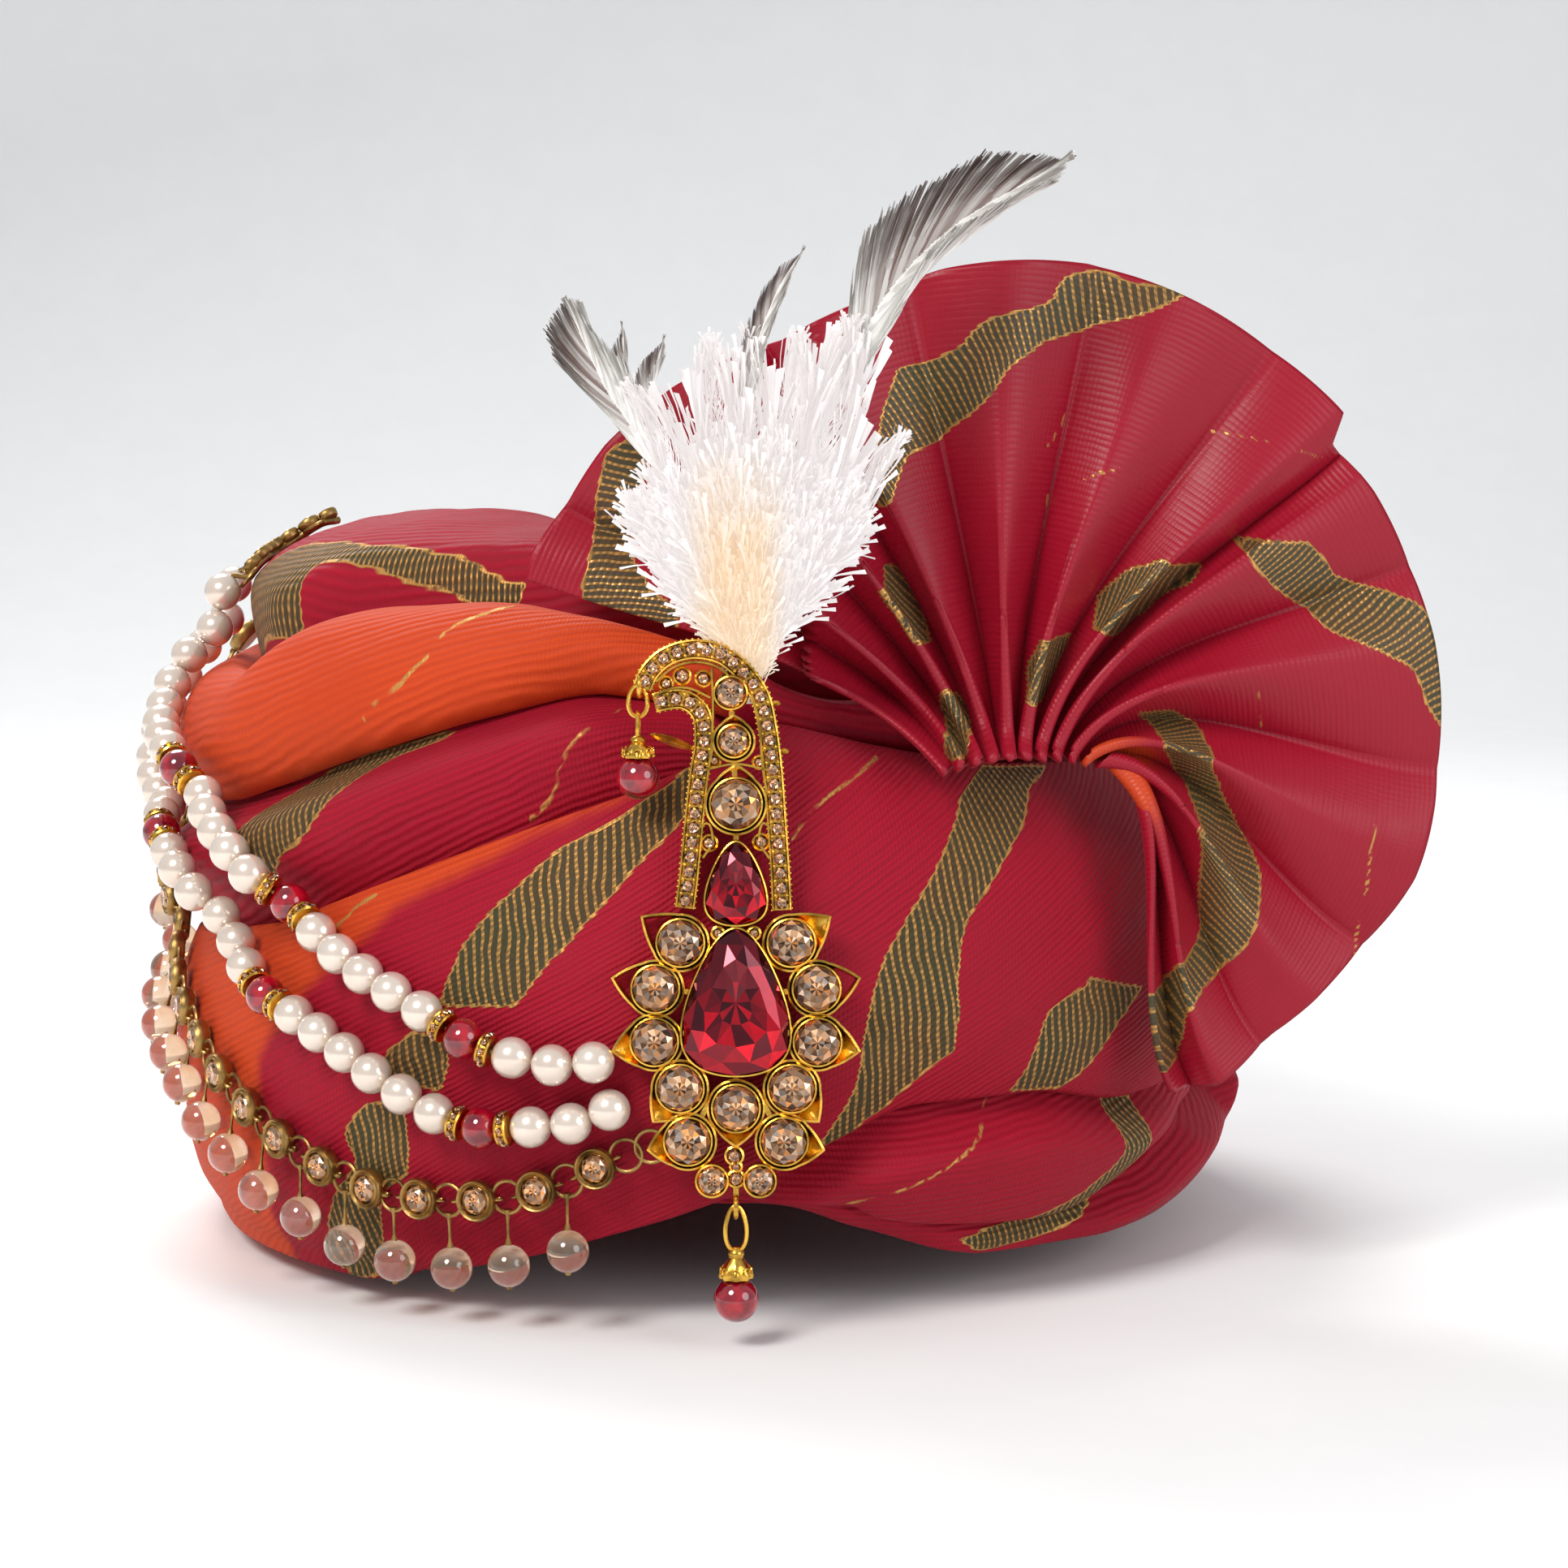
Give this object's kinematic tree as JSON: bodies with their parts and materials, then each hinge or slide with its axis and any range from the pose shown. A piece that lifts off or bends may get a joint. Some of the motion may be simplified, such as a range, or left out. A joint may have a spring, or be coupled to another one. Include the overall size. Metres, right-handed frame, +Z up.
{
  "type": "tied turban with fan, plume, brooch and bead strings",
  "caption": "Tied turban of wound cloth with a pleated fan, a feather plume, a stone-set paisley brooch, pearl strings and a chain; hollow below for a head.",
  "frame": {"origin": "the seat on the head: the highest point inside the crown", "axes": "+Z up, the front with the brooch faces -Y, +X towards the fan"},
  "size_m": [0.2718, 0.2682, 0.217],
  "materials": {
    "sash_crimson": "crinkled cotton, crimson with woven gold and green stripes",
    "sash_orange": "crinkled cotton, orange",
    "fan_silk": "pleated silk-look cloth, crimson with woven gold and green stripes",
    "feather": "soft white down with grey-brown feathers",
    "gold": "gold-plated, polished",
    "red_stone": "cut glass, foil-backed",
    "champagne_stone": "cut glass, foil-backed",
    "red_bead": "glossy bead",
    "pearl": "pearl lustre"
  },
  "bodies": {
    "turban": {"crown": "sash_crimson", "lower_wrap_outer": "sash_crimson", "lower_wrap_inner": "sash_crimson", "left_wrap_1": "sash_crimson", "left_wrap_2": "sash_orange", "left_wrap_3": "sash_crimson", "front_wrap": "sash_crimson", "fan": "fan_silk", "plume": "feather", "brooch_frame": "gold", "brooch_pin": "gold", "pear_stone_large": "red_stone", "pear_stone_small": "red_stone", "petal_stone_1": "champagne_stone", "petal_stone_2": "champagne_stone", "petal_stone_3": "champagne_stone", "petal_stone_4": "champagne_stone", "petal_stone_5": "champagne_stone", "petal_stone_6": "champagne_stone", "petal_stone_7": "champagne_stone", "petal_stone_8": "champagne_stone", "petal_stone_9": "champagne_stone", "petal_stone_10": "champagne_stone", "petal_stone_11": "champagne_stone", "stem_stone_1": "champagne_stone", "stem_stone_2": "champagne_stone", "stem_stone_lower_1": "champagne_stone", "foot_stone_1": "champagne_stone", "foot_stone_2": "champagne_stone", "tip_drop_link": "gold", "tip_drop_bead": "red_bead", "pearl_strand_upper": "pearl", "pearl_strand_lower": "pearl", "kundan_chain": "gold", "strand_hook": "gold"},
    "drop": {"drop_link": "gold", "drop_bead": "red_bead"}
  },
  "joints": [
    {"name": "drop_swing", "type": "hinge", "parent": "turban", "child": "drop", "pos_m": [0.0063, -0.13458, -0.09812], "axis": [1, 0, 0], "range_deg": [-75, 40]}
  ]
}
